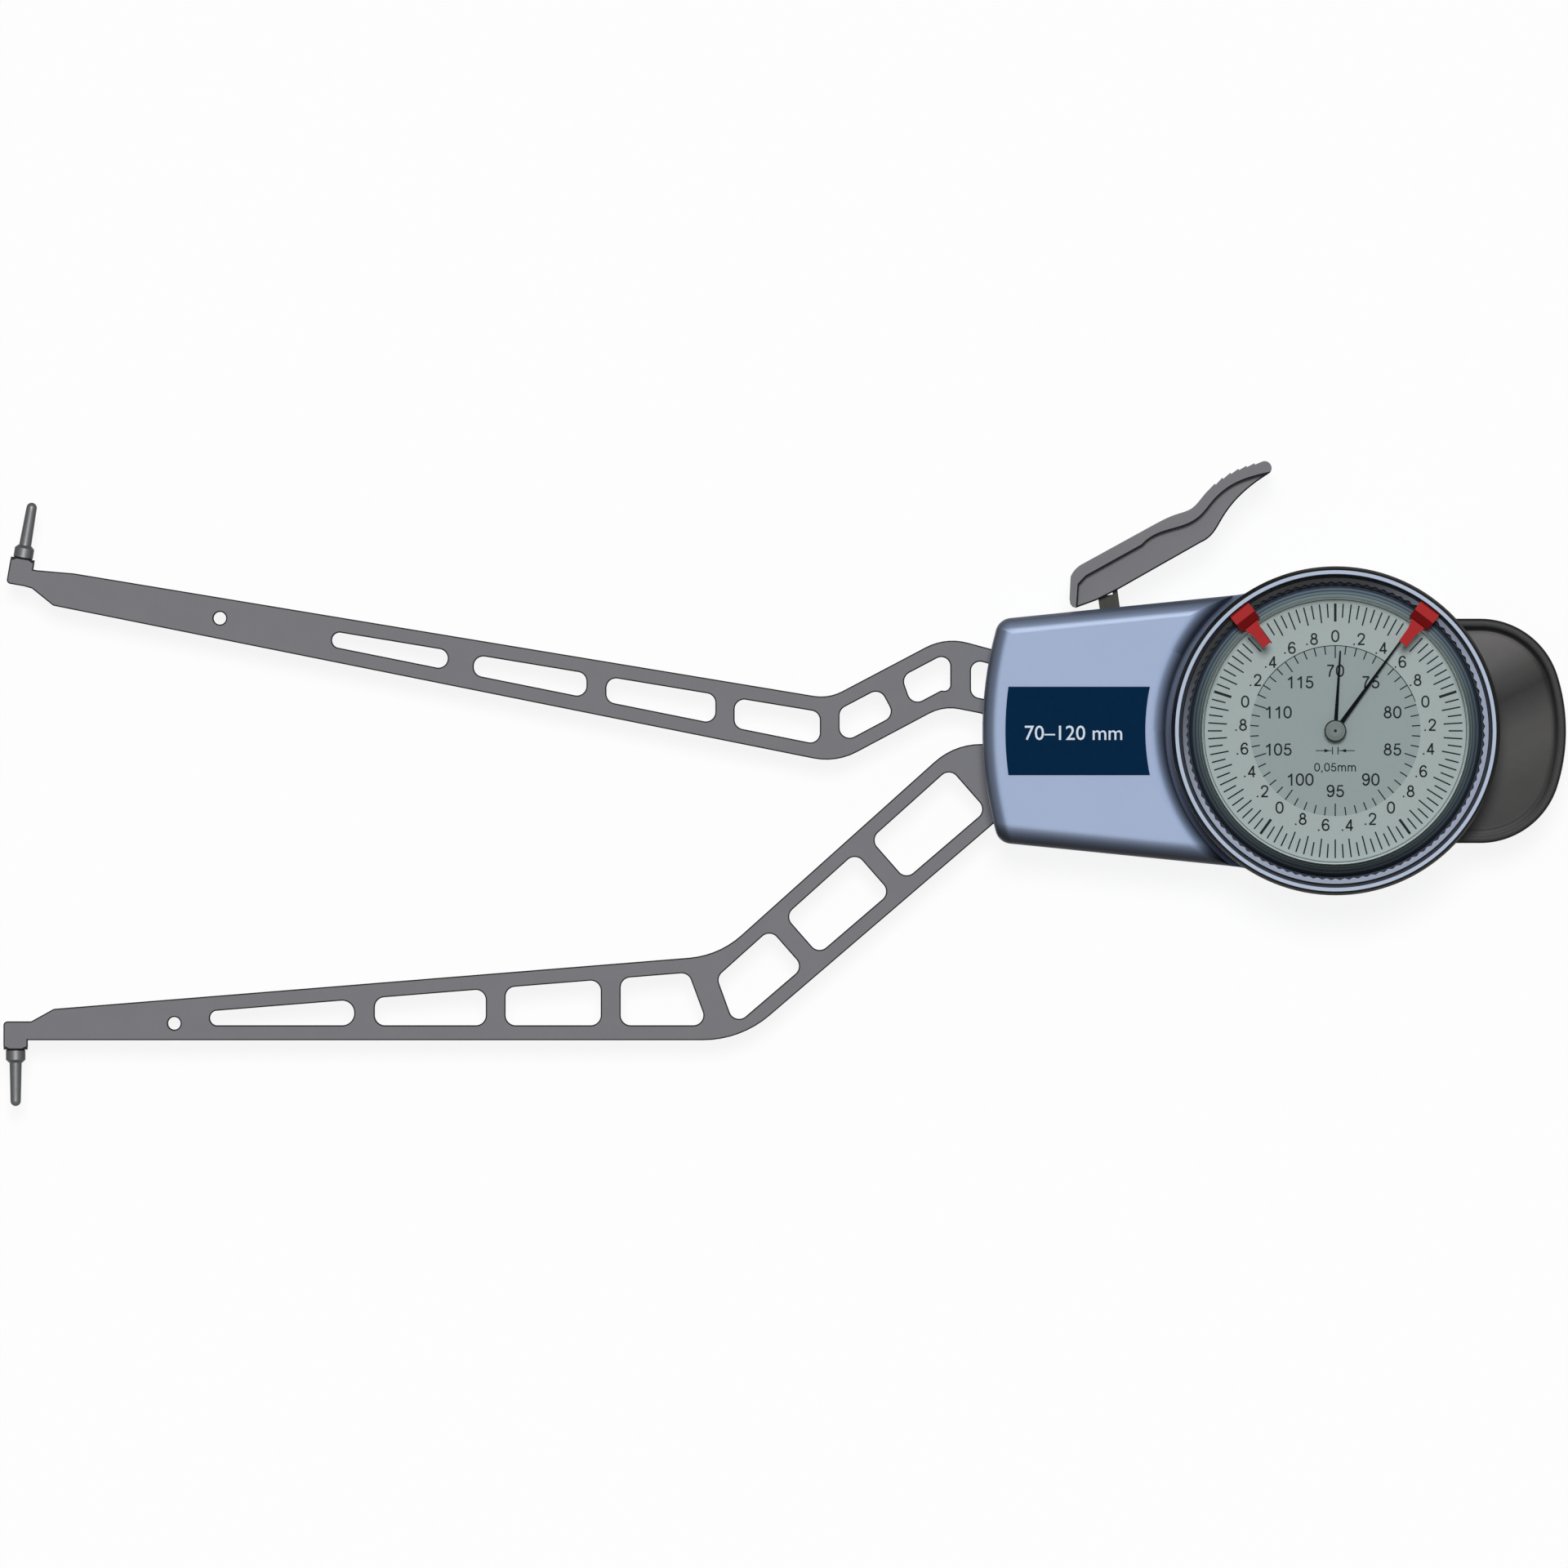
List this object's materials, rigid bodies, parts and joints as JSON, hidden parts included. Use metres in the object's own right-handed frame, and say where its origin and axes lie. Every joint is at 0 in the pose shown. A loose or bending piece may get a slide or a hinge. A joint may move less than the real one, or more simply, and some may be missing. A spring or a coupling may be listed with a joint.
{
  "type": "inside caliper gauge",
  "caption": "Inside caliper gauge with long cranked arms, a thumb lever, a dial with two hands and a turning bezel with sliding tolerance markers.",
  "frame": {"origin": "where the dial axis meets the plane of the back cover that the gauge lies on", "axes": "+Z along the dial axis out of the dial, +X from the arms to the end grip, +Y to the side of the thumb lever and the movable arm"},
  "size_m": [0.3119, 0.1287, 0.0304],
  "materials": {
    "housing": "satin moulded plastic, grey blue",
    "cover": "matt moulded plastic, grey blue",
    "label": "flat navy label",
    "grip": "black moulded plastic",
    "arm": "dark grey anodised plate",
    "steel": "turned steel",
    "brass": "turned and cut brass",
    "bronze": "plain bearing bronze",
    "plate": "milled sheet",
    "lever": "dark grey moulded plastic",
    "bezel": "satin grey blue plastic",
    "dial": "matt printed sheet",
    "inner_ring": "matt grey ring",
    "crystal": "clear polished plastic",
    "hand": "matt black sheet",
    "cap": "grey moulded cap",
    "dark_steel": "blackened steel",
    "seal": "black rubber",
    "marker": "red moulded plastic"
  },
  "bodies": {
    "root": {"housing_shell": "housing", "back_cover": "cover", "cover_screws": "steel", "chassis_plate": "plate", "chassis_screws": "steel", "name_plate": "label", "end_grip": "grip", "grip_screws": "steel", "fixed_arm": "arm", "fixed_arm_screws": "steel", "fixed_arm_dowel": "steel", "fixed_contact_collar": "steel", "fixed_contact_pin": "steel", "stop_pin": "steel", "arm_pivot_pin": "steel", "arm_circlip": "steel", "lever_pivot_pin": "steel", "lever_circlip": "steel", "return_spring": "steel", "spring_post": "steel", "hairspring": "bronze", "hairspring_stud": "steel", "movement_pillars": "steel", "upper_plate": "plate", "plate_screws": "steel", "arbor_bushes": "bronze", "bezel_seal": "seal"},
    "arm": {"moving_arm": "arm", "moving_contact_collar": "steel", "moving_contact_pin": "steel", "pivot_bush": "bronze", "gear_sector": "brass", "sector_screws": "steel", "drive_pin": "steel", "spring_pin": "steel"},
    "lever": {"thumb_lever": "lever", "lever_fork": "dark_steel", "lever_crank": "dark_steel", "lever_pin": "steel"},
    "idler": {"idler_arbor": "steel", "idler_wheel": "brass", "transfer_gear": "brass"},
    "long_hand_arbor": {"centre_arbor": "steel", "long_hand": "hand", "hub_cap": "cap"},
    "short_hand_pipe": {"short_hand_wheel": "brass", "short_hand": "hand"},
    "bezel": {"bezel_ring": "bezel", "dial_plate": "dial", "inner_ring": "inner_ring", "crystal": "crystal"},
    "left_marker_slide": {"left_marker": "marker"},
    "right_marker_slide": {"right_marker": "marker"}
  },
  "joints": [
    {"name": "arm_swing", "type": "hinge", "parent": "root", "child": "arm", "pos_m": [-0.056, 0.0075, 0], "axis": [0, 0, 1], "range_deg": [0, 14.1], "stiffness_Nm_per_rad": 0.2, "springref_deg": -57.3, "deforming": ["return_spring"]},
    {"name": "lever_press", "type": "hinge", "parent": "root", "child": "lever", "pos_m": [-0.044, 0.018, 0], "axis": [0, 0, 1], "range_deg": [-21.35, 0]},
    {"name": "idler_turn", "type": "hinge", "parent": "root", "child": "idler", "pos_m": [-0.01145, 0.00761, 0], "axis": [0, 0, 1], "range_deg": [-367.6, 0], "deforming": ["hairspring"]},
    {"name": "long_hand_turn", "type": "hinge", "parent": "root", "child": "long_hand_arbor", "pos_m": [0, 0, 0], "axis": [0, 0, 1], "range_deg": [0, 3676]},
    {"name": "short_hand_turn", "type": "hinge", "parent": "root", "child": "short_hand_pipe", "pos_m": [0, 0, 0], "axis": [0, 0, 1], "range_deg": [0, 367.6]},
    {"name": "bezel_turn", "type": "hinge", "parent": "root", "child": "bezel", "pos_m": [0, 0, 0], "axis": [0, 0, 1], "range_deg": [-20, 20]},
    {"name": "left_marker_turn", "type": "hinge", "parent": "bezel", "child": "left_marker_slide", "pos_m": [0, 0, 0], "axis": [0, 0, 1], "range_deg": [-30, 130]},
    {"name": "right_marker_turn", "type": "hinge", "parent": "bezel", "child": "right_marker_slide", "pos_m": [0, 0, 0], "axis": [0, 0, 1], "range_deg": [-130, 30]}
  ],
  "couplings": [
    {"joint": "lever_press", "follows": "arm_swing", "ratio": -1.5},
    {"joint": "idler_turn", "follows": "arm_swing", "ratio": -26},
    {"joint": "long_hand_turn", "follows": "arm_swing", "ratio": 260},
    {"joint": "short_hand_turn", "follows": "arm_swing", "ratio": 26}
  ]
}
